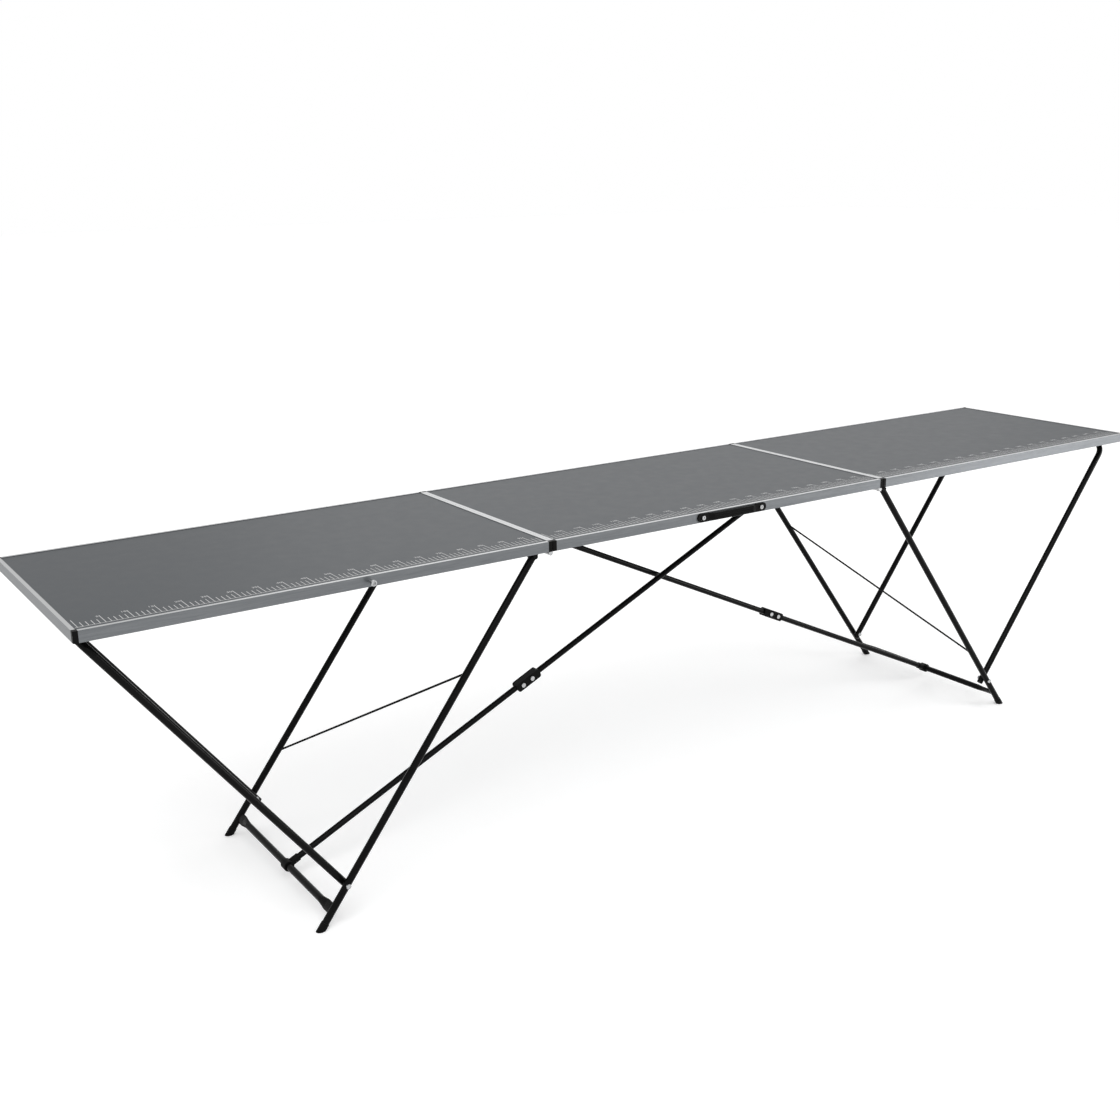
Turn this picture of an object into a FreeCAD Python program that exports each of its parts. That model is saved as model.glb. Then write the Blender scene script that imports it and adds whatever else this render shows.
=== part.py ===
import FreeCAD, Part
import math
import os

# Folding work table in three hinged sections. Millimetres, +Z up, +X along the table, front at -Y.
# The right section is the left one turned half a turn about the vertical axis.

# Overall sizes
SECTION_LENGTH = 1000.0
SECTION_GAP = 0.4
TABLE_WIDTH = 585.0
TABLE_HEIGHT = 750.0

# Board and aluminium rim
BOARD_THICKNESS = 6.0
RIM_HEIGHT = 23.0
RIM_WALL = 1.5
LIP_WIDTH = 8.0
LIP_THICKNESS = 1.2
FLANGE_WIDTH = 14.0
CORNER_SIZE = 10.0
CORNER_DROP = 0.3
CORNER_ROUND = 2.0
PLUG_LENGTH = 16.0
PLUG_WIDTH = 5.0
PLUG_CLEARANCE = 0.1

# Section hinges on the underside
HINGE_INSET_Y = 38.0
HINGE_WIDTH = 60.0
HINGE_KNUCKLE = 20.0
HINGE_KNUCKLE_RADIUS = 5.0
HINGE_PIN_RADIUS = 2.0
HINGE_LEAF = 2.0
HINGE_DROP = 6.0
HINGE_SIDE_GAP = 0.5

# Trestle tubes
LEG_RADIUS = 8.0
BRACE_RADIUS = 8.0
STAY_RADIUS = 7.0
WIRE_RADIUS = 2.5
TUBE_WALL = 1.2
RUNNING_CLEARANCE = 0.05
FREE_CLEARANCE = 0.4

# Trestle layout seen from the front
LEG_INSET_Y = 31.5
LEG_TOP_INSET = 30.0
LEG_TOP_DROP = 35.0
BRACE_END_INSET = 20.0
RIVET_HEIGHT = 85.0
BRACE_SIDE_GAP = 2.0
BRACE_BEND_RADIUS = 40.0
LEG_TOP_OVERHANG = 10.0
BRACE_OVERHANG = 14.0
CROSS_TUBE_HEIGHT = 38.0
CROSS_FLAT_LENGTH = 22.0
CROSS_TAPER_LENGTH = 26.0
CROSS_FLAT_HALF_WIDTH = 12.0
CROSS_FLAT_HALF_THICKNESS = 3.5
WIRE_UPPER = 285.0
WIRE_LOWER = 670.0

# Feet
FOOT_RADIUS = 9.0
FOOT_LENGTH = 18.0
FOOT_SOLE = 12.0

# Leg brackets, pins and rivets
PIVOT_RADIUS = 3.0
BRACKET_LENGTH = 40.0
BRACKET_PLATE = 2.0
BRACKET_SIDE_GAP = 0.5
BRACKET_TONGUE = 9.0
PIN_HEAD_RADIUS = 5.5
PIN_HEAD_HEIGHT = 2.2

# Saddle clips that the brace crossbar bears against
CLIP_OFFSET_Y = 120.0
CLIP_WIDTH = 30.0
CLIP_BACK = 3.0
CLIP_REACH = 8.0

# Stays under the middle section
STAY_OFFSET_Y = 26.0
STAY_SIDE_STEP = 26.0
STAY_END_INSET = 120.0
STAY_END_DROP = 54.0
STAY_LOWER_LENGTH = 710.0
STAY_TUBE_GAP = 12.0
COLLAR_RADIUS = 12.0
COLLAR_LENGTH = 20.0
COLLAR_SOCKET_RADIUS = 9.0
COLLAR_SOCKET_LENGTH = 30.0
KNEE_BACK = 45.0
KNEE_FRONT = 25.0
KNEE_HALF_HEIGHT = 11.0
KNEE_CHEEK = 3.0
KNEE_SIDE_GAP = 0.5
KNEE_CORNER = 6.0
KNEE_RIVET_SPACING = 28.0
STAY_PIN_RADIUS = 4.0
STAY_PIN_HALF_LENGTH = 16.0
STAY_TIP = 9.0
HOOK_THICKNESS = 5.0
HOOK_SIDE_GAP = 1.5
HOOK_BACK = 15.0
HOOK_FRONT = 2.0
HOOK_DROP = 8.0
HOOK_EXIT_ANGLE = -28.7
HOOK_PLATE_LENGTH = 60.0

# Handle strap and catch stud on the front rim
HANDLE_LENGTH = 207.0
HANDLE_HEIGHT = 20.0
HANDLE_THICKNESS = 3.0
HANDLE_RISE = 5.0
HANDLE_PAD = 32.0
HANDLE_SLOPE = 12.0
HANDLE_SCREW_X = 88.0
HANDLE_GRIP_HEIGHT = 17.0
HANDLE_RIB_PITCH = 4.5
HANDLE_RIB_RADIUS = 1.2
HANDLE_RIBS = 3
SCREW_RADIUS = 2.0
SCREW_HEAD_RADIUS = 5.0
SCREW_HEAD_HEIGHT = 2.5
SCREW_LENGTH = 10.0
SCREW_RECESS_RADIUS = 2.2
SCREW_RECESS_DEPTH = 1.4
STUD_FROM_END = 570.0
STUD_LENGTH = 14.0
STUD_RADIUS = 4.0
STUD_HEAD_RADIUS = 6.0
STUD_HEAD_HEIGHT = 5.0
STUD_HOLLOW_RADIUS = 3.8
STUD_HOLLOW_DEPTH = 4.0

# Sizes that follow from the ones above
HALF_WIDTH = TABLE_WIDTH / 2.0
LEG_OFFSET_Y = HALF_WIDTH - LEG_INSET_Y
HINGE_OFFSET_Y = HALF_WIDTH - HINGE_INSET_Y
JOINT_X = -SECTION_LENGTH / 2.0
TABLE_END_X = -1.5 * SECTION_LENGTH + SECTION_GAP / 2.0
RIM_BOTTOM = TABLE_HEIGHT - RIM_HEIGHT
RIM_MIDDLE = TABLE_HEIGHT - RIM_HEIGHT / 2.0
BOARD_TOP = TABLE_HEIGHT - LIP_THICKNESS
BOARD_BOTTOM = BOARD_TOP - BOARD_THICKNESS
HINGE_Z = RIM_BOTTOM - HINGE_DROP
LEG_TOP_X = JOINT_X - LEG_TOP_INSET
LEG_TOP_Z = TABLE_HEIGHT - LEG_TOP_DROP
CROSSBAR_X = -1.5 * SECTION_LENGTH + BRACE_END_INSET
RIVET_X = (LEG_TOP_X + CROSSBAR_X) / 2.0
BRACE_OFFSET_Y = LEG_OFFSET_Y - LEG_RADIUS - BRACE_RADIUS - BRACE_SIDE_GAP
STAY_END_X = SECTION_LENGTH / 2.0 - STAY_END_INSET
STAY_END_Z = TABLE_HEIGHT - STAY_END_DROP

ALONG_Y = FreeCAD.Vector(0, 1, 0)


def point(x, y, z):
    return FreeCAD.Vector(x, y, z)


def box(x0, x1, y0, y1, z0, z1):
    return Part.makeBox(x1 - x0, y1 - y0, z1 - z0, point(x0, y0, z0))


def rod(start, end, radius):
    axis = end - start
    return Part.makeCylinder(radius, axis.Length, start, axis)


def tube(start, end, radius):
    return rod(start, end, radius).cut(rod(start, end, radius - TUBE_WALL))


def rod_y(x, z, radius, y0, y1):
    return Part.makeCylinder(radius, y1 - y0, point(x, y0, z), ALONG_Y)


def join(shapes):
    result = shapes[0]
    for shape in shapes[1:]:
        result = result.fuse(shape)
    return result.removeSplitter()


def group(shapes):
    return Part.makeCompound(shapes)


def half_turn(shape):
    copy = shape.copy()
    copy.rotate(point(0, 0, 0), point(0, 0, 1), 180)
    return copy


def mirror_y(shape):
    return shape.mirror(point(0, 0, 0), ALONG_Y)


# Points of the left trestle in the plane seen from the front
leg_top = point(LEG_TOP_X, 0, LEG_TOP_Z)
rivet = point(RIVET_X, 0, RIVET_HEIGHT)
crossbar = point(CROSSBAR_X, 0, LEG_TOP_Z)
leg_down = (rivet - leg_top).normalize()
leg_length = LEG_TOP_Z / -leg_down.z
cross_centre = leg_top + leg_down * ((LEG_TOP_Z - CROSS_TUBE_HEIGHT) / -leg_down.z)
stay_end = point(STAY_END_X, 0, STAY_END_Z)
stay_up = (stay_end - cross_centre).normalize()
knee_pivot = cross_centre + stay_up * STAY_LOWER_LENGTH
knee_fixed = knee_pivot - stay_up * KNEE_RIVET_SPACING


def at_y(vector, y):
    return point(vector.x, y, vector.z)


# Section: board, four rims and four corner pieces
def rim_along_x(x0, x1, side):
    web = box(x0, x1, HALF_WIDTH - RIM_WALL, HALF_WIDTH, RIM_BOTTOM, TABLE_HEIGHT)
    inner = HALF_WIDTH - LIP_WIDTH
    lip = box(x0, x1, inner, HALF_WIDTH, BOARD_TOP, TABLE_HEIGHT)
    ledge = box(x0, x1, inner, HALF_WIDTH, BOARD_BOTTOM - LIP_THICKNESS, BOARD_BOTTOM)
    notch = max(FLANGE_WIDTH - CORNER_SIZE, 0.0)
    flange = box(x0 + notch, x1 - notch, HALF_WIDTH - FLANGE_WIDTH, HALF_WIDTH,
                 RIM_BOTTOM, RIM_BOTTOM + LIP_THICKNESS)
    rim = join([web, lip, ledge, flange])
    return rim if side > 0 else mirror_y(rim)


def rim_along_y(x_outer, inward, y_half):
    x_in = x_outer + inward * LIP_WIDTH
    x_wall = x_outer + inward * RIM_WALL
    x_flange = x_outer + inward * FLANGE_WIDTH

    def slab(x_end, z0, z1):
        return box(min(x_outer, x_end), max(x_outer, x_end), -y_half, y_half, z0, z1)

    web = slab(x_wall, RIM_BOTTOM, TABLE_HEIGHT)
    lip = slab(x_in, BOARD_TOP, TABLE_HEIGHT)
    ledge = slab(x_in, BOARD_BOTTOM - LIP_THICKNESS, BOARD_BOTTOM)
    flange = slab(x_flange, RIM_BOTTOM, RIM_BOTTOM + LIP_THICKNESS)
    return join([web, lip, ledge, flange])


def corner_piece(x_outer, inward, side):
    x_in = x_outer + inward * CORNER_SIZE
    y_out = side * HALF_WIDTH
    y_in = side * (HALF_WIDTH - CORNER_SIZE)
    x_low, x_high = min(x_outer, x_in), max(x_outer, x_in)
    y_low, y_high = min(y_out, y_in), max(y_out, y_in)
    block = box(x_low, x_high, y_low, y_high, RIM_BOTTOM, TABLE_HEIGHT - CORNER_DROP)
    outer_edges = []
    for edge in block.Edges:
        middle = edge.CenterOfMass
        upright = abs(edge.BoundBox.ZLength) > CORNER_SIZE
        if upright and abs(middle.x - x_outer) < 0.01 and abs(middle.y - y_out) < 0.01:
            outer_edges.append(edge)
    block = block.makeFillet(CORNER_ROUND, outer_edges)
    z0 = RIM_BOTTOM + LIP_THICKNESS + PLUG_CLEARANCE
    z1 = BOARD_BOTTOM - LIP_THICKNESS - PLUG_CLEARANCE
    near = RIM_WALL + PLUG_CLEARANCE
    far = near + PLUG_WIDTH
    x_tip = x_in + inward * PLUG_LENGTH
    y_tip = y_in - side * PLUG_LENGTH
    y_a, y_b = y_out - side * near, y_out - side * far
    x_a, x_b = x_outer + inward * near, x_outer + inward * far
    plug_x = box(min(x_in, x_tip), max(x_in, x_tip), min(y_a, y_b), max(y_a, y_b), z0, z1)
    plug_y = box(min(x_a, x_b), max(x_a, x_b), min(y_in, y_tip), max(y_in, y_tip), z0, z1)
    return join([block, plug_x, plug_y])


def section(centre_x):
    x0 = centre_x - SECTION_LENGTH / 2.0 + SECTION_GAP / 2.0
    x1 = centre_x + SECTION_LENGTH / 2.0 - SECTION_GAP / 2.0
    y_half = HALF_WIDTH - CORNER_SIZE
    board = box(x0 + RIM_WALL, x1 - RIM_WALL, -HALF_WIDTH + RIM_WALL, HALF_WIDTH - RIM_WALL,
                BOARD_BOTTOM, BOARD_TOP)
    corners = []
    for x_outer, inward in ((x0, 1), (x1, -1)):
        for side in (-1, 1):
            corners.append(corner_piece(x_outer, inward, side))
    for corner in corners:
        board = board.cut(corner)
    return {
        "board": board,
        "front_rim": rim_along_x(x0 + CORNER_SIZE, x1 - CORNER_SIZE, -1),
        "back_rim": rim_along_x(x0 + CORNER_SIZE, x1 - CORNER_SIZE, 1),
        "left_end_rim": rim_along_y(x0, 1, y_half),
        "right_end_rim": rim_along_y(x1, -1, y_half),
        "corners": group(corners),
    }


# Section hinge: one knuckle on the outer leaf, two on the inner leaf, one pin each
def hinge_leaf(direction, knuckle_spans, y_centre):
    x_near = JOINT_X + direction * (HINGE_KNUCKLE_RADIUS + FREE_CLEARANCE)
    x_far = JOINT_X + direction * (FLANGE_WIDTH + SECTION_GAP / 2.0)
    z0 = RIM_BOTTOM - HINGE_LEAF
    plate = box(min(x_near, x_far), max(x_near, x_far), y_centre - HINGE_WIDTH / 2.0,
                y_centre + HINGE_WIDTH / 2.0, z0, RIM_BOTTOM)
    pieces = [plate]
    for y0, y1 in knuckle_spans:
        x_tongue = JOINT_X + direction * SECTION_GAP
        tongue = box(min(x_tongue, x_near), max(x_tongue, x_near), y0, y1, HINGE_Z, RIM_BOTTOM)
        pieces.append(tongue)
        pieces.append(rod_y(JOINT_X, HINGE_Z, HINGE_KNUCKLE_RADIUS, y0, y1))
    return join(pieces)


def hinges():
    outer, inner, pins = [], [], []
    for y_centre in (-HINGE_OFFSET_Y, HINGE_OFFSET_Y):
        half = HINGE_KNUCKLE / 2.0
        end = HINGE_WIDTH / 2.0
        middle_span = [(y_centre - half, y_centre + half)]
        side_spans = [(y_centre - end, y_centre - half - HINGE_SIDE_GAP),
                      (y_centre + half + HINGE_SIDE_GAP, y_centre + end)]
        bore = rod_y(JOINT_X, HINGE_Z, HINGE_PIN_RADIUS + RUNNING_CLEARANCE, y_centre - end, y_centre + end)
        hole = rod_y(JOINT_X, HINGE_Z, HINGE_PIN_RADIUS, y_centre - end, y_centre + end)
        outer.append(hinge_leaf(-1, middle_span, y_centre).cut(bore))
        inner.append(hinge_leaf(1, side_spans, y_centre).cut(hole))
        pins.append(hole)
    return group(outer), group(inner), group(pins)


# Leg frame
def headed_pin(x, z, radius, y0, y1):
    shank = rod_y(x, z, radius, y0, y1)
    head_low = rod_y(x, z, PIN_HEAD_RADIUS, y0 - PIN_HEAD_HEIGHT, y0)
    head_high = rod_y(x, z, PIN_HEAD_RADIUS, y1, y1 + PIN_HEAD_HEIGHT)
    return join([shank, head_low, head_high])


def leg(side):
    y = side * LEG_OFFSET_Y
    start = at_y(leg_top - leg_down * LEG_TOP_OVERHANG, y)
    end = at_y(leg_top + leg_down * (leg_length - FOOT_SOLE), y)
    reach = LEG_RADIUS + 1.0
    pivot_hole = rod_y(leg_top.x, leg_top.z, PIVOT_RADIUS + RUNNING_CLEARANCE, y - reach, y + reach)
    rivet_hole = rod_y(rivet.x, rivet.z, PIVOT_RADIUS, y - reach, y + reach)
    return tube(start, end, LEG_RADIUS).cut(pivot_hole).cut(rivet_hole)


def leg_cylinder(side):
    y = side * LEG_OFFSET_Y
    return rod(at_y(leg_top, y), at_y(leg_top + leg_down * leg_length, y), LEG_RADIUS)


def foot_cap(side):
    y = side * LEG_OFFSET_Y
    top = at_y(leg_top + leg_down * (leg_length - FOOT_LENGTH), y)
    seat = at_y(leg_top + leg_down * (leg_length - FOOT_SOLE), y)
    bottom = at_y(leg_top + leg_down * (leg_length + FOOT_LENGTH), y)
    cap = rod(top, bottom, FOOT_RADIUS).cut(rod(top, seat, LEG_RADIUS))
    ground = box(top.x - SECTION_LENGTH, top.x + SECTION_LENGTH, y - SECTION_LENGTH, y + SECTION_LENGTH,
                 -SECTION_LENGTH, 0)
    return cap.cut(ground)


def flat_wire(y):
    ellipse = Part.Ellipse(at_y(cross_centre, y), CROSS_FLAT_HALF_WIDTH, CROSS_FLAT_HALF_THICKNESS)
    wire = Part.Wire(ellipse.toShape())
    wire.rotate(at_y(cross_centre, y), point(1, 0, 0), 90)
    slope = math.degrees(math.atan2(leg_down.z, leg_down.x))
    wire.rotate(at_y(cross_centre, y), ALONG_Y, -slope)
    return wire


def round_wire(y):
    return Part.Wire(Part.makeCircle(LEG_RADIUS, at_y(cross_centre, y), ALONG_Y))


def cross_tube():
    end = LEG_OFFSET_Y - LEG_RADIUS / 2.0
    flat = LEG_OFFSET_Y - LEG_RADIUS - CROSS_FLAT_LENGTH
    start = flat - CROSS_TAPER_LENGTH
    pieces = [rod_y(cross_centre.x, cross_centre.z, LEG_RADIUS, -start, start)]
    for side in (-1, 1):
        taper = Part.makeLoft([round_wire(side * start), flat_wire(side * flat)], True, True)
        face = Part.Face(flat_wire(side * flat))
        pieces.append(taper)
        pieces.append(face.extrude(ALONG_Y * (side * (end - flat))))
    solid = pieces[0]
    for piece in pieces[1:]:
        solid = solid.fuse(piece)
    for side in (-1, 1):
        solid = solid.cut(leg_cylinder(side))
    hollow = rod_y(cross_centre.x, cross_centre.z, LEG_RADIUS - TUBE_WALL, -start, start)
    return solid.cut(hollow)


def wire_rod():
    front = at_y(leg_top + leg_down * WIRE_UPPER, -LEG_OFFSET_Y)
    back = at_y(leg_top + leg_down * WIRE_LOWER, LEG_OFFSET_Y)
    return rod(front, back, WIRE_RADIUS).cut(leg_cylinder(-1)).cut(leg_cylinder(1))


def leg_bracket(side):
    """Angle bracket with its one cheek on the inner side of the leg."""
    y = side * LEG_OFFSET_Y
    near = y - side * (LEG_RADIUS + BRACKET_SIDE_GAP)
    far = near - side * BRACKET_PLATE
    outer = y + side * LEG_RADIUS
    x0 = leg_top.x - BRACKET_LENGTH / 2.0
    x1 = leg_top.x + BRACKET_LENGTH / 2.0
    base = box(x0, x1, min(far, outer), max(far, outer), BOARD_BOTTOM - BRACKET_PLATE, BOARD_BOTTOM)
    y0, y1 = min(near, far), max(near, far)
    cheek = box(leg_top.x - BRACKET_TONGUE, leg_top.x + BRACKET_TONGUE, y0, y1, leg_top.z, BOARD_BOTTOM)
    tongue = rod_y(leg_top.x, leg_top.z, BRACKET_TONGUE, y0, y1)
    hole = rod_y(leg_top.x, leg_top.z, PIVOT_RADIUS, y0, y1)
    return join([base, cheek, tongue]).cut(hole)


def leg_pin(side):
    outside = side * (LEG_OFFSET_Y + LEG_RADIUS + BRACKET_SIDE_GAP)
    inside = side * (LEG_OFFSET_Y - LEG_RADIUS - BRACKET_SIDE_GAP - BRACKET_PLATE)
    return headed_pin(leg_top.x, leg_top.z, PIVOT_RADIUS, min(outside, inside), max(outside, inside))


def brace_rivet(side):
    outside = side * (LEG_OFFSET_Y + LEG_RADIUS)
    inside = side * (BRACE_OFFSET_Y - BRACE_RADIUS - FREE_CLEARANCE)
    return headed_pin(rivet.x, rivet.z, PIVOT_RADIUS, min(outside, inside), max(outside, inside))


# Brace: one bent tube with its crossbar under the outer end of the section
def brace_path():
    up = (crossbar - rivet).normalize()
    bottom = rivet - up * BRACE_OVERHANG
    bend = crossbar - up * BRACE_BEND_RADIUS
    bar_y = BRACE_OFFSET_Y - BRACE_BEND_RADIUS
    diagonal = BRACE_BEND_RADIUS * (1.0 - math.sqrt(0.5))
    edges = []
    front_bend = at_y(bend, -BRACE_OFFSET_Y)
    front_bar = at_y(crossbar, -bar_y)
    front_mid = at_y(crossbar - up * diagonal, -BRACE_OFFSET_Y + diagonal)
    back_bend = at_y(bend, BRACE_OFFSET_Y)
    back_bar = at_y(crossbar, bar_y)
    back_mid = at_y(crossbar - up * diagonal, BRACE_OFFSET_Y - diagonal)
    edges.append(Part.makeLine(at_y(bottom, -BRACE_OFFSET_Y), front_bend))
    edges.append(Part.Arc(front_bend, front_mid, front_bar).toShape())
    edges.append(Part.makeLine(front_bar, back_bar))
    edges.append(Part.Arc(back_bar, back_mid, back_bend).toShape())
    edges.append(Part.makeLine(back_bend, at_y(bottom, BRACE_OFFSET_Y)))
    return Part.Wire(edges), at_y(bottom, -BRACE_OFFSET_Y), up


def brace():
    path, start, direction = brace_path()
    layers = []
    for radius in (BRACE_RADIUS, BRACE_RADIUS - TUBE_WALL):
        profile = Part.Wire(Part.makeCircle(radius, start, direction))
        layers.append(path.makePipeShell([profile], True, True))
    shape = layers[0].cut(layers[1])
    reach = BRACE_RADIUS + 1.0
    for side in (-1, 1):
        y = side * BRACE_OFFSET_Y
        shape = shape.cut(rod_y(rivet.x, rivet.z, PIVOT_RADIUS + RUNNING_CLEARANCE, y - reach, y + reach))
    return shape


def brace_clip(y_centre):
    y0, y1 = y_centre - CLIP_WIDTH / 2.0, y_centre + CLIP_WIDTH / 2.0
    radius = BRACE_RADIUS + FREE_CLEARANCE
    x_back = crossbar.x - radius - CLIP_BACK
    x_front = crossbar.x + CLIP_REACH
    block = box(x_back, x_front, y0, y1, crossbar.z, RIM_BOTTOM)
    seat = rod_y(crossbar.x, crossbar.z, radius, y0, y1)
    mouth = box(crossbar.x, x_front, y0, y1, crossbar.z, crossbar.z + radius)
    return block.cut(seat).cut(mouth)


# Stay: lower tube on a collar, knee piece, upper tube with a cross pin, and its hook
def stay_collar():
    y = -STAY_OFFSET_Y
    centre = at_y(cross_centre, y)
    ring = rod_y(centre.x, centre.z, COLLAR_RADIUS, y - COLLAR_LENGTH / 2.0, y + COLLAR_LENGTH / 2.0)
    socket = rod(centre, centre + stay_up * COLLAR_SOCKET_LENGTH, COLLAR_SOCKET_RADIUS)
    bore = rod_y(centre.x, centre.z, LEG_RADIUS + RUNNING_CLEARANCE, y - COLLAR_LENGTH, y + COLLAR_LENGTH)
    seat = rod(centre + stay_up * COLLAR_RADIUS, centre + stay_up * COLLAR_SOCKET_LENGTH, STAY_RADIUS)
    return join([ring, socket]).cut(bore).cut(seat)


def stay_lower():
    y = -STAY_OFFSET_Y
    start = at_y(cross_centre + stay_up * COLLAR_RADIUS, y)
    end = at_y(knee_pivot - stay_up * STAY_TUBE_GAP, y)
    hole = rod_y(knee_fixed.x, knee_fixed.z, PIVOT_RADIUS, y - STAY_RADIUS - 1.0, y + STAY_RADIUS + 1.0)
    return tube(start, end, STAY_RADIUS).cut(hole)


def stay_upper():
    y = -STAY_OFFSET_Y
    pivot = at_y(knee_pivot, y)
    end = at_y(stay_end + stay_up * STAY_TIP, y)
    body = tube(pivot, end, STAY_RADIUS)
    nose = Part.makeSphere(STAY_RADIUS, pivot)
    plug = rod(pivot, pivot + stay_up * (2.0 * STAY_RADIUS), STAY_RADIUS)
    pin = rod_y(stay_end.x, stay_end.z, STAY_PIN_RADIUS, y - STAY_PIN_HALF_LENGTH, y + STAY_PIN_HALF_LENGTH)
    bore = rod_y(pivot.x, pivot.z, PIVOT_RADIUS + RUNNING_CLEARANCE, y - STAY_RADIUS - 1.0, y + STAY_RADIUS + 1.0)
    return body.fuse(nose).fuse(plug).cut(bore).fuse(pin).removeSplitter()


def knee_piece():
    y = -STAY_OFFSET_Y
    half_gap = STAY_RADIUS + KNEE_SIDE_GAP
    half_width = half_gap + KNEE_CHEEK
    length = KNEE_BACK + KNEE_FRONT
    block = Part.makeBox(length, 2.0 * half_width, 2.0 * KNEE_HALF_HEIGHT,
                         point(-KNEE_BACK, -half_width, -KNEE_HALF_HEIGHT))
    crosswise = [edge for edge in block.Edges if edge.BoundBox.YLength > half_width]
    block = block.makeFillet(KNEE_CORNER, crosswise)
    channel = Part.makeBox(length, 2.0 * half_gap, KNEE_HALF_HEIGHT + half_gap,
                           point(-KNEE_BACK, -half_gap, -KNEE_HALF_HEIGHT))
    piece = block.cut(channel)
    for along in (0.0, -KNEE_RIVET_SPACING):
        piece = piece.cut(rod_y(along, 0, PIVOT_RADIUS, -half_width, half_width))
    slope = math.degrees(math.atan2(stay_up.z, stay_up.x))
    piece.rotate(point(0, 0, 0), ALONG_Y, -slope)
    piece.translate(at_y(knee_pivot, y))
    return piece


def knee_rivets():
    y = -STAY_OFFSET_Y
    reach = STAY_RADIUS + KNEE_SIDE_GAP + KNEE_CHEEK
    return group([headed_pin(spot.x, spot.z, PIVOT_RADIUS, y - reach, y + reach)
                  for spot in (knee_pivot, knee_fixed)])


def stay_hook():
    y = -STAY_OFFSET_Y
    radius = STAY_PIN_RADIUS + FREE_CLEARANCE
    inner = STAY_RADIUS + HOOK_SIDE_GAP
    outer = inner + HOOK_THICKNESS
    top = BOARD_BOTTOM
    half_plate = HOOK_PLATE_LENGTH / 2.0
    pieces = [box(stay_end.x - half_plate, stay_end.x + half_plate, y - outer, y + outer,
                  top - BRACKET_PLATE, top)]
    exit_angle = math.radians(HOOK_EXIT_ANGLE)
    exit_way = point(math.cos(exit_angle), 0, math.sin(exit_angle))
    for y0, y1 in ((y - outer, y - inner), (y + inner, y + outer)):
        finger = box(stay_end.x - HOOK_BACK, stay_end.x + HOOK_FRONT, y0, y1, stay_end.z - HOOK_DROP, top)
        slot = Part.makeBox(2.0 * HOOK_PLATE_LENGTH, y1 - y0, 2.0 * radius, point(0, y0, -radius))
        slot.rotate(point(0, 0, 0), ALONG_Y, -math.degrees(math.atan2(exit_way.z, exit_way.x)))
        slot.translate(point(stay_end.x, 0, stay_end.z))
        seat = rod_y(stay_end.x, stay_end.z, radius, y0, y1)
        pieces.append(finger.cut(seat).cut(slot))
    return join(pieces)


# Handle strap, its screws and the catch stud
def handle_strap():
    face = -HALF_WIDTH
    half = HANDLE_LENGTH / 2.0
    low = half - HANDLE_PAD
    high = low - HANDLE_SLOPE
    inner = [(-half, 0), (-low, 0), (-high, HANDLE_RISE), (high, HANDLE_RISE), (low, 0), (half, 0)]
    outline = [point(x, face - depth, 0) for x, depth in inner]
    outline += [point(x, face - depth - HANDLE_THICKNESS, 0) for x, depth in reversed(inner)]
    outline.append(outline[0])
    strap = Part.Face(Part.makePolygon(outline)).extrude(point(0, 0, HANDLE_HEIGHT))
    front = face - HANDLE_RISE - HANDLE_THICKNESS
    radius = HANDLE_HEIGHT / 2.0
    for index in range(HANDLE_RIBS):
        z = radius + (index - (HANDLE_RIBS - 1) / 2.0) * HANDLE_RIB_PITCH
        strap = strap.fuse(rod(point(-high, front, z), point(high, front, z), HANDLE_RIB_RADIUS))
    depth = HANDLE_RISE + HANDLE_THICKNESS + 2.0 * HANDLE_RIB_RADIUS
    ends = [rod_y(side * (half - radius), radius, radius, face - depth, face) for side in (-1, 1)]
    pads = [box(min(side * low, side * (half - radius)), max(side * low, side * (half - radius)),
                face - depth, face, 0, HANDLE_HEIGHT) for side in (-1, 1)]
    trim = (HANDLE_HEIGHT - HANDLE_GRIP_HEIGHT) / 2.0
    grip = box(-low, low, face - depth, face, trim, HANDLE_HEIGHT - trim)
    strap = strap.common(join([grip] + pads + ends))
    strap.translate(point(0, 0, RIM_MIDDLE - radius))
    for side in (-1, 1):
        strap = strap.cut(rod_y(side * HANDLE_SCREW_X, RIM_MIDDLE, SCREW_RADIUS, face - depth, face))
    return strap


def screw(x, surface_y):
    head = rod_y(x, RIM_MIDDLE, SCREW_HEAD_RADIUS, surface_y - SCREW_HEAD_HEIGHT, surface_y)
    shank = rod_y(x, RIM_MIDDLE, SCREW_RADIUS, surface_y, surface_y + SCREW_LENGTH)
    recess_end = surface_y - SCREW_HEAD_HEIGHT + SCREW_RECESS_DEPTH
    recess = rod_y(x, RIM_MIDDLE, SCREW_RECESS_RADIUS, surface_y - SCREW_HEAD_HEIGHT, recess_end)
    return head.fuse(shank).cut(recess)


def catch_stud(x):
    face = -HALF_WIDTH
    neck_end = face - STUD_LENGTH
    head_end = neck_end - STUD_HEAD_HEIGHT
    neck = rod_y(x, RIM_MIDDLE, STUD_RADIUS, neck_end, face)
    head = rod_y(x, RIM_MIDDLE, STUD_HEAD_RADIUS, head_end, neck_end)
    shank = rod_y(x, RIM_MIDDLE, SCREW_RADIUS, face, face + SCREW_LENGTH)
    hollow = rod_y(x, RIM_MIDDLE, STUD_HOLLOW_RADIUS, head_end, head_end + STUD_HOLLOW_DEPTH)
    return join([neck, head, shank]).cut(hollow)


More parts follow.
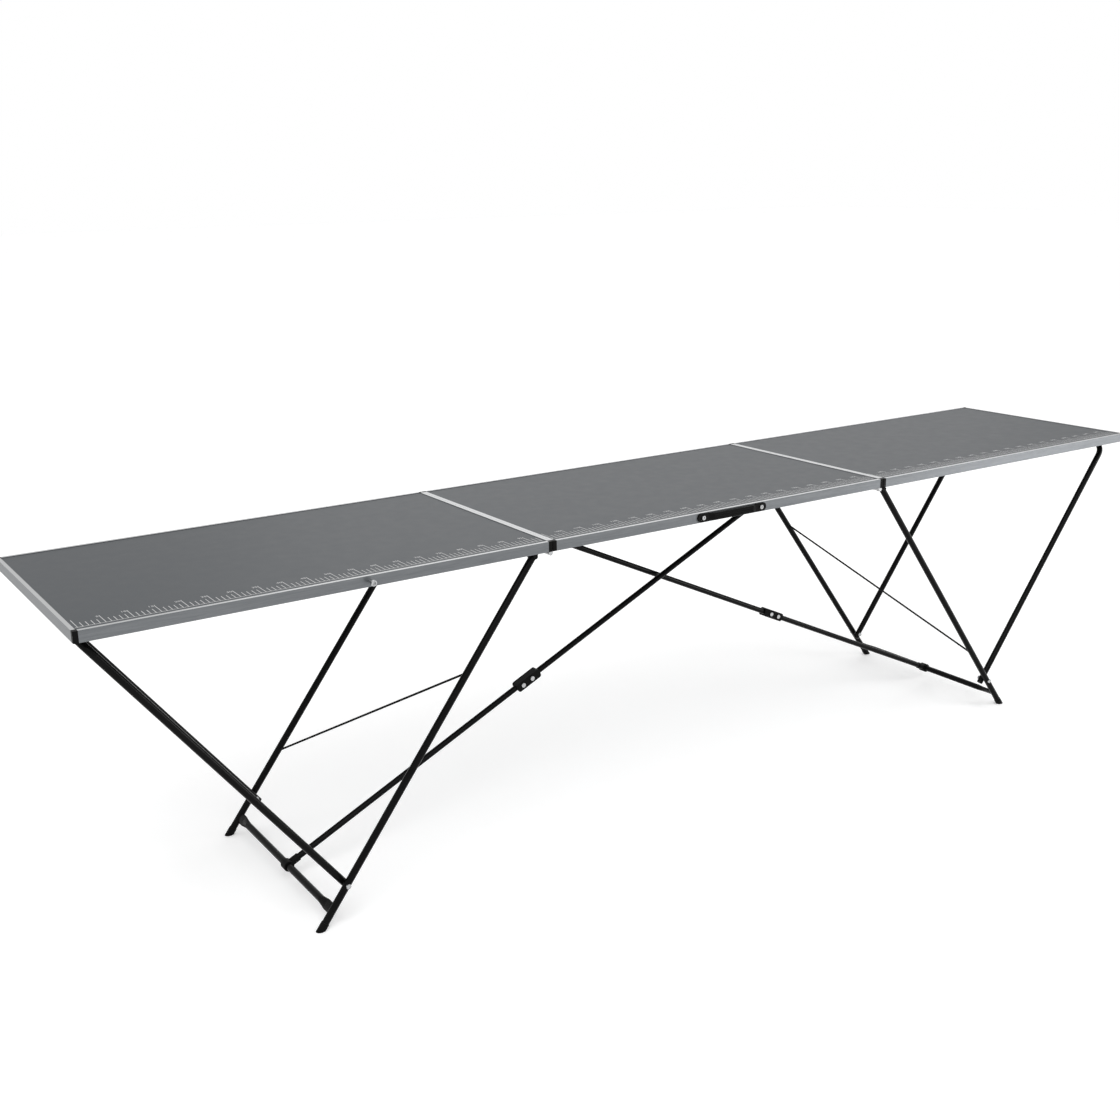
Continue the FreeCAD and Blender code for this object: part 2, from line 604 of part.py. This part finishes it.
# Put the left section together, then turn it for the right
def outer_section():
    pieces = section(-SECTION_LENGTH)
    outer_leaves, inner_leaves, hinge_pins = hinges()
    pieces.update({
        "outer_hinge_leaves": outer_leaves,
        "inner_hinge_leaves": inner_leaves,
        "hinge_pins": hinge_pins,
        "leg_brackets": group([leg_bracket(-1), leg_bracket(1)]),
        "leg_pins": group([leg_pin(-1), leg_pin(1)]),
        "brace_clips": group([brace_clip(-CLIP_OFFSET_Y), brace_clip(CLIP_OFFSET_Y)]),
        "front_leg": leg(-1),
        "back_leg": leg(1),
        "foot_caps": group([foot_cap(-1), foot_cap(1)]),
        "cross_tube": cross_tube(),
        "wire_rod": wire_rod(),
        "brace_rivets": group([brace_rivet(-1), brace_rivet(1)]),
        "brace": brace(),
        "stay_collar": stay_collar(),
        "stay_lower": stay_lower(),
        "stay_upper": stay_upper(),
        "stay_knee": knee_piece(),
        "knee_rivets": knee_rivets(),
        "stay_hook": stay_hook(),
    })
    return pieces


SWAPPED = {
    "front_rim": "back_rim", "back_rim": "front_rim",
    "front_leg": "back_leg", "back_leg": "front_leg",
    "left_end_rim": "right_end_rim", "right_end_rim": "left_end_rim",
}

# The left stay runs in front of the middle line, and the right one steps forward to lie beside it
STAY_PIECES = ("stay_collar", "stay_lower", "stay_upper", "stay_knee", "knee_rivets", "stay_hook")

left = outer_section()
middle = section(0.0)
nodes = {}
for name, shape in left.items():
    turned = half_turn(shape)
    if name in STAY_PIECES:
        turned.translate(point(0, -STAY_SIDE_STEP, 0))
    nodes["right_" + SWAPPED.get(name, name)] = turned
    nodes["left_" + name] = shape
for name, shape in middle.items():
    nodes["middle_" + name] = shape

stud_x = -1.5 * SECTION_LENGTH + STUD_FROM_END
stud_hole = rod_y(stud_x, RIM_MIDDLE, SCREW_RADIUS, -HALF_WIDTH, -HALF_WIDTH + RIM_WALL)
nodes["left_front_rim"] = nodes["left_front_rim"].cut(stud_hole)
nodes["catch_stud"] = catch_stud(stud_x)

screws = []
for side in (-1, 1):
    screw_x = side * HANDLE_SCREW_X
    hole = rod_y(screw_x, RIM_MIDDLE, SCREW_RADIUS, -HALF_WIDTH, -HALF_WIDTH + RIM_WALL)
    nodes["middle_front_rim"] = nodes["middle_front_rim"].cut(hole)
    screws.append(screw(screw_x, -HALF_WIDTH - HANDLE_THICKNESS))
nodes["handle_strap"] = handle_strap()
nodes["handle_screws"] = group(screws)

# The stud stands out at the front only, so the table moves back to centre its bounding box on the origin
centre_shift = point(0, (STUD_LENGTH + STUD_HEAD_HEIGHT) / 2.0, 0)

os.makedirs("parts", exist_ok=True)
for name in sorted(nodes):
    nodes[name].translate(centre_shift)
    nodes[name].exportStep("parts/" + name + ".step")
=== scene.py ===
import math

import bmesh
import bpy
from mathutils import Matrix, Vector


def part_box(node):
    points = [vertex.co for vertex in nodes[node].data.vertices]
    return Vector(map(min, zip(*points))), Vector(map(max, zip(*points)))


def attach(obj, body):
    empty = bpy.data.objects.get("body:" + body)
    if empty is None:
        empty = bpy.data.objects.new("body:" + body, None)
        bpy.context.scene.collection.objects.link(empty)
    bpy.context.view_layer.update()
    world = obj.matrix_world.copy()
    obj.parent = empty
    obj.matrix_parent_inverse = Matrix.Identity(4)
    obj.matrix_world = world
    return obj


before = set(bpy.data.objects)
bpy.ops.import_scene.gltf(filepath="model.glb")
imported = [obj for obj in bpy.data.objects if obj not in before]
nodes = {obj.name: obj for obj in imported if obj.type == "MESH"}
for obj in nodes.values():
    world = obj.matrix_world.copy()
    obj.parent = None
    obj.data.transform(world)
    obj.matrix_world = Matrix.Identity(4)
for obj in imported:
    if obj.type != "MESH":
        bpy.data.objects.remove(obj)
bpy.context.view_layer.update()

# Lengths are in metres
MILLIMETRE = 0.001
SECTIONS = ("left", "middle", "right")

# Camera: place, turn about the vertical, tilt down, roll, and focal length
# in pixels of a square picture of the given width
CAMERA_PLACE = Vector((-2.0317, -2.6035, 1.5024))
CAMERA_TURN = math.radians(33.732)
CAMERA_TILT = math.radians(15.947)
CAMERA_ROLL = math.radians(0.817)
CAMERA_REACH = 100.0
FOCAL_PIXELS = 1356.3
PICTURE_WIDTH = 1120.0
SENSOR_WIDTH = 36.0

# Ruler printed along the front edge
RULER_STEP = 10.0 * MILLIMETRE
RULER_STEPS_PER_LONG = 5
RULER_START_INSET = 14.0 * MILLIMETRE
RULER_LINE_INSET = 21.0 * MILLIMETRE
RULER_END_MARGIN = 10.0 * MILLIMETRE
SHORT_TICK = 25.0 * MILLIMETRE
LONG_TICK = 46.0 * MILLIMETRE
TICK_WIDTH = 1.3 * MILLIMETRE
LINE_WIDTH = 1.3 * MILLIMETRE
PRINT_THICKNESS = 0.12 * MILLIMETRE
NUMBER_HEIGHT = 8.0 * MILLIMETRE
NUMBER_GAP = 1.6 * MILLIMETRE
NUMBER_ROOM = 3 * NUMBER_HEIGHT
FONT_SIZE = 1.4 * NUMBER_HEIGHT
FONT_CURVE_STEPS = 3

# Surface texture: how the fine and the broad noise share in it, and the stretch of the grain
FINE_SHARE = 0.6
BROAD_SHARE = 0.4
BROAD_SCALE = 0.05
FINE_DETAIL = 3.0
BROAD_DETAIL = 2.0
NOISE_ROUGHNESS = 0.5
RAMP_LOW_PLACE = 0.3
RAMP_HIGH_PLACE = 0.7
EVEN_GRAIN = (1.0, 1.0, 1.0)
GRAIN_ALONG_X = (1.0, 60.0, 60.0)
GRAIN_ALONG_Y = (60.0, 1.0, 60.0)

# Upward part of the surface normal at which the rim's painted highlight, a lighter colour painted on
# upward-facing surfaces, starts and is full
PAINTED_HIGHLIGHT_START = 0.4
PAINTED_HIGHLIGHT_FULL = 0.9

# Sockets of a colour mix node
MIX_FACTOR = 0
MIX_FIRST = 6
MIX_SECOND = 7
MIX_RESULT = 2

# Floor and soft studio light
FLOOR_HALF_SIZE = 40.0
FLOOR_LEVEL = -0.0005
FLOOR_BRIGHTNESS = 0.92
FLOOR_ROUGHNESS = 0.9
FLOOR_SPECULAR = 0.1
FLOOR_GLOW = 0.188
WORLD_LIGHT = 0.88


# Shader helpers
def new_material(name):
    material = bpy.data.materials.new(name)
    material.use_nodes = True
    tree = material.node_tree
    shader = tree.nodes["Principled BSDF"]
    return material, tree, shader


def add_node(tree, kind, **inputs):
    node = tree.nodes.new(kind)
    for key, value in inputs.items():
        node.inputs[key].default_value = value
    return node


def calculate(tree, operation, *values):
    """Result of a math node; each value is a number or a socket to link."""
    node = tree.nodes.new("ShaderNodeMath")
    node.operation = operation
    for socket, value in zip(node.inputs, values):
        if isinstance(value, float):
            socket.default_value = value
        else:
            tree.links.new(value, socket)
    return node.outputs[0]


def object_coordinates(tree, stretch):
    coordinates = tree.nodes.new("ShaderNodeTexCoord")
    mapping = add_node(tree, "ShaderNodeMapping", Scale=stretch)
    tree.links.new(coordinates.outputs["Object"], mapping.inputs["Vector"])
    return mapping.outputs["Vector"]


def noise(tree, vector, scale, detail):
    node = add_node(tree, "ShaderNodeTexNoise", Scale=scale, Detail=detail, Roughness=NOISE_ROUGHNESS)
    tree.links.new(vector, node.inputs["Vector"])
    return node.outputs["Fac"]


def ramp(tree, factor, low, high, low_place=RAMP_LOW_PLACE, high_place=RAMP_HIGH_PLACE):
    node = tree.nodes.new("ShaderNodeValToRGB")
    node.color_ramp.elements[0].position = low_place
    node.color_ramp.elements[0].color = low
    node.color_ramp.elements[1].position = high_place
    node.color_ramp.elements[1].color = high
    tree.links.new(factor, node.inputs["Fac"])
    return node.outputs["Color"]


def bump(tree, height, strength, distance):
    node = add_node(tree, "ShaderNodeBump", Strength=strength, Distance=distance)
    tree.links.new(height, node.inputs["Height"])
    return node.outputs["Normal"]


def grey(value, blue=0.0):
    """A grey with the given share of blue added, and half of it in green."""
    return (value, value + blue / 2, value + blue, 1.0)


def textured(name, scale, dark, pale, roughness, grain=EVEN_GRAIN, metallic=0.0, specular=0.5,
             bump_strength=0.1, bump_distance=0.2 * MILLIMETRE):
    """A material with colour and roughness from mixed fine and broad noise, and bump from the fine noise."""
    material, tree, shader = new_material(name)
    vector = object_coordinates(tree, grain)
    fine = noise(tree, vector, scale, FINE_DETAIL)
    broad = noise(tree, vector, scale * BROAD_SCALE, BROAD_DETAIL)
    broad_part = calculate(tree, "MULTIPLY", broad, BROAD_SHARE)
    factor = calculate(tree, "MULTIPLY_ADD", fine, FINE_SHARE, broad_part)
    smooth, rough = roughness
    tree.links.new(ramp(tree, factor, dark, pale), shader.inputs["Base Color"])
    tree.links.new(ramp(tree, factor, grey(smooth), grey(rough)), shader.inputs["Roughness"])
    tree.links.new(bump(tree, fine, bump_strength, bump_distance), shader.inputs["Normal"])
    shader.inputs["Metallic"].default_value = metallic
    shader.inputs["Specular IOR Level"].default_value = specular
    return material


def aluminium(name, grain):
    """Satin extrusion: its own darker colour on the faces, and a lighter painted highlight where the surface
    looks up.
    """
    material = textured(name, scale=24.0, dark=grey(0.118, 0.014), pale=grey(0.185, 0.016),
                        roughness=(0.32, 0.46), grain=grain, metallic=1.0, bump_strength=0.12)
    tree = material.node_tree
    shader = tree.nodes["Principled BSDF"]
    face_colour = shader.inputs["Base Color"].links[0].from_socket
    # Painted highlight: a lighter colour is painted wherever the rim's surface faces up, standing in for the
    # light that upward faces catch
    coordinates = tree.nodes.new("ShaderNodeTexCoord")
    split = tree.nodes.new("ShaderNodeSeparateXYZ")
    tree.links.new(coordinates.outputs["Normal"], split.inputs["Vector"])
    upward = ramp(tree, split.outputs["Z"], grey(0.0), grey(1.0), PAINTED_HIGHLIGHT_START, PAINTED_HIGHLIGHT_FULL)
    mix = tree.nodes.new("ShaderNodeMix")
    mix.data_type = "RGBA"
    # Colour of the painted highlight on upward-facing surfaces
    mix.inputs[MIX_SECOND].default_value = grey(0.45, 0.01)
    tree.links.new(upward, mix.inputs[MIX_FACTOR])
    tree.links.new(face_colour, mix.inputs[MIX_FIRST])
    tree.links.new(mix.outputs[MIX_RESULT], shader.inputs["Base Color"])
    return material


# Materials of the table
laminate = textured("dark_laminate", scale=700.0, dark=grey(0.038, 0.010), pale=grey(0.064, 0.012),
                    roughness=(0.38, 0.52), specular=0.15,
                    bump_strength=0.25, bump_distance=0.1 * MILLIMETRE)
rim_along_x = aluminium("extruded_aluminium_x", GRAIN_ALONG_X)
rim_along_y = aluminium("extruded_aluminium_y", GRAIN_ALONG_Y)
powder_coat = textured("black_powder_coat", scale=420.0, dark=grey(0.002), pale=grey(0.005),
                       roughness=(0.2, 0.3), specular=0.06,
                       bump_strength=0.18, bump_distance=0.08 * MILLIMETRE)
plastic = textured("black_moulded_plastic", scale=900.0, dark=grey(0.003), pale=grey(0.007),
                   roughness=(0.36, 0.5), specular=0.04,
                   bump_strength=0.3, bump_distance=0.06 * MILLIMETRE)
zinc = textured("zinc_plated_steel", scale=260.0, dark=grey(0.34, 0.01), pale=grey(0.52, 0.01),
                roughness=(0.2, 0.34), metallic=1.0)
ruler_print = textured("white_print", scale=500.0, dark=grey(0.44), pale=grey(0.54),
                       roughness=(0.45, 0.6), specular=0.2, bump_strength=0.05)

TUBE_ENDINGS = ("front_leg", "back_leg", "cross_tube", "wire_rod", "_brace", "stay_lower", "stay_upper",
                "leg_brackets", "leg_pins")
PLASTIC_ENDINGS = ("corners", "foot_caps", "stay_collar", "stay_knee", "brace_clips", "handle_strap")


def material_for(name):
    if name.endswith("board"):
        return laminate
    if name.endswith("end_rim"):
        return rim_along_y
    if name.endswith("rim"):
        return rim_along_x
    if name.endswith(TUBE_ENDINGS):
        return powder_coat
    if name.endswith(PLASTIC_ENDINGS):
        return plastic
    return zinc


for name, node in nodes.items():
    node.data.materials.clear()
    node.data.materials.append(material_for(name))


def add_to_scene(name, data):
    item = bpy.data.objects.new(name, data)
    bpy.context.scene.collection.objects.link(item)
    return item


def mesh_object(name, mesh, material):
    data = bpy.data.meshes.new(name)
    mesh.to_mesh(data)
    mesh.free()
    data.materials.append(material)
    return add_to_scene(name, data)


# Ruler: ticks, base line and numbers, a thin layer of print on each board
ruler_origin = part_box("left_board")[0].x + RULER_START_INSET
ruler_steps = int((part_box("right_board")[1].x - ruler_origin) / RULER_STEP)


def slab(mesh, x0, x1, y0, y1, z0, z1):
    place = Matrix.Translation(((x0 + x1) / 2, (y0 + y1) / 2, (z0 + z1) / 2))
    stretch = Matrix.Diagonal((x1 - x0, y1 - y0, z1 - z0, 1.0))
    bmesh.ops.create_cube(mesh, size=1.0, matrix=place @ stretch)


def add_number(mesh, number, x, y, z):
    """Add the number's digits to the mesh, ending at x, as a layer of print."""
    curve = bpy.data.curves.new("digits", "FONT")
    curve.body = str(number)
    curve.size = FONT_SIZE
    curve.align_x = "RIGHT"
    curve.resolution_u = FONT_CURVE_STEPS
    curve.extrude = PRINT_THICKNESS / 2
    writer = bpy.data.objects.new("digits", curve)
    digits = bpy.data.meshes.new_from_object(writer)
    digits.transform(Matrix.Translation((x, y, z + PRINT_THICKNESS / 2)))
    mesh.from_mesh(digits)
    bpy.data.meshes.remove(digits)
    bpy.data.objects.remove(writer)
    bpy.data.curves.remove(curve)


def body_of_section(section):
    return "middle" if section == "middle" else section + "_section"


def ruler(section):
    low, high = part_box(section + "_board")
    bottom, top = high.z, high.z + PRINT_THICKNESS
    line_y = low.y + RULER_LINE_INSET
    first, last = low.x + RULER_END_MARGIN, high.x - RULER_END_MARGIN
    mesh = bmesh.new()
    slab(mesh, first, last, line_y - LINE_WIDTH, line_y, bottom, top)
    for step in range(ruler_steps):
        x = ruler_origin + step * RULER_STEP
        if not first <= x <= last:
            continue
        long_one = step % RULER_STEPS_PER_LONG == 0
        tick_end = line_y + (LONG_TICK if long_one else SHORT_TICK)
        slab(mesh, x - TICK_WIDTH / 2, x + TICK_WIDTH / 2, line_y, tick_end, bottom, top)
        if long_one and x - NUMBER_ROOM > first:
            add_number(mesh, step, x - NUMBER_GAP, tick_end - NUMBER_HEIGHT, bottom)
    piece = mesh_object(section + "_ruler", mesh, ruler_print)
    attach(piece, body_of_section(section))


for section in SECTIONS:
    ruler(section)


# Camera
def aim_camera():
    data = bpy.data.cameras.new("camera")
    data.sensor_width = SENSOR_WIDTH
    data.lens = FOCAL_PIXELS / PICTURE_WIDTH * SENSOR_WIDTH
    data.clip_end = CAMERA_REACH
    camera = add_to_scene("camera", data)
    forward = Vector((math.sin(CAMERA_TURN) * math.cos(CAMERA_TILT),
                      math.cos(CAMERA_TURN) * math.cos(CAMERA_TILT),
                      -math.sin(CAMERA_TILT)))
    right = Vector((math.cos(CAMERA_TURN), -math.sin(CAMERA_TURN), 0.0))
    down = forward.cross(right)
    rolled_right = math.cos(CAMERA_ROLL) * right + math.sin(CAMERA_ROLL) * down
    rolled_down = math.cos(CAMERA_ROLL) * down - math.sin(CAMERA_ROLL) * right
    turn = Matrix((rolled_right, -rolled_down, -forward)).transposed()
    camera.matrix_world = Matrix.Translation(CAMERA_PLACE) @ turn.to_4x4()
    bpy.context.scene.camera = camera


aim_camera()


# Floor and lights
def seen_directly(tree, strength):
    """The given strength for rays from the camera, mirrors and glass, and zero for the others."""
    path = tree.nodes.new("ShaderNodeLightPath")
    total = path.outputs["Is Camera Ray"]
    for kind in ("Is Glossy Ray", "Is Transmission Ray"):
        total = calculate(tree, "MAXIMUM", total, path.outputs[kind])
    return calculate(tree, "MULTIPLY", total, strength)


def pale_floor():
    mesh = bmesh.new()
    bmesh.ops.create_grid(mesh, x_segments=1, y_segments=1, size=FLOOR_HALF_SIZE,
                          matrix=Matrix.Translation((0.0, 0.0, FLOOR_LEVEL)))
    material, tree, shader = new_material("pale_floor")
    shader.inputs["Base Color"].default_value = grey(FLOOR_BRIGHTNESS)
    shader.inputs["Roughness"].default_value = FLOOR_ROUGHNESS
    shader.inputs["Specular IOR Level"].default_value = FLOOR_SPECULAR
    shader.inputs["Emission Color"].default_value = grey(1.0)
    tree.links.new(seen_directly(tree, FLOOR_GLOW), shader.inputs["Emission Strength"])
    floor = mesh_object("floor", mesh, material)


def soft_light(name, place, target, size, power):
    data = bpy.data.lights.new(name, "AREA")
    data.shape = "RECTANGLE"
    data.size, data.size_y = size
    data.energy = power
    light = add_to_scene(name, data)
    way = Vector(target) - Vector(place)
    light.matrix_world = Matrix.Translation(place) @ way.to_track_quat("-Z", "Y").to_matrix().to_4x4()


def white_world():
    """A white world, brighter where it is seen directly than where it lights the table."""
    world = bpy.data.worlds.new("studio")
    world.use_nodes = True
    tree = world.node_tree
    sky = tree.nodes["Background"]
    sky.inputs["Color"].default_value = grey(1.0)
    brightness = calculate(tree, "ADD", seen_directly(tree, 1.0 - WORLD_LIGHT), WORLD_LIGHT)
    tree.links.new(brightness, sky.inputs["Strength"])
    bpy.context.scene.world = world


pale_floor()
soft_light("key_light", place=(-2.0, -3.0, 4.0), target=(0.0, 0.0, 0.4), size=(4.0, 3.0), power=100.0)
soft_light("back_light", place=(3.0, 4.0, 3.5), target=(0.5, 0.0, 0.6), size=(5.0, 2.0), power=35.0)
soft_light("side_light", place=(3.2, -2.2, 0.9), target=(1.3, -0.3, 0.74), size=(1.2, 0.8), power=35.0)
white_world()
bpy.context.scene.view_settings.view_transform = "Standard"
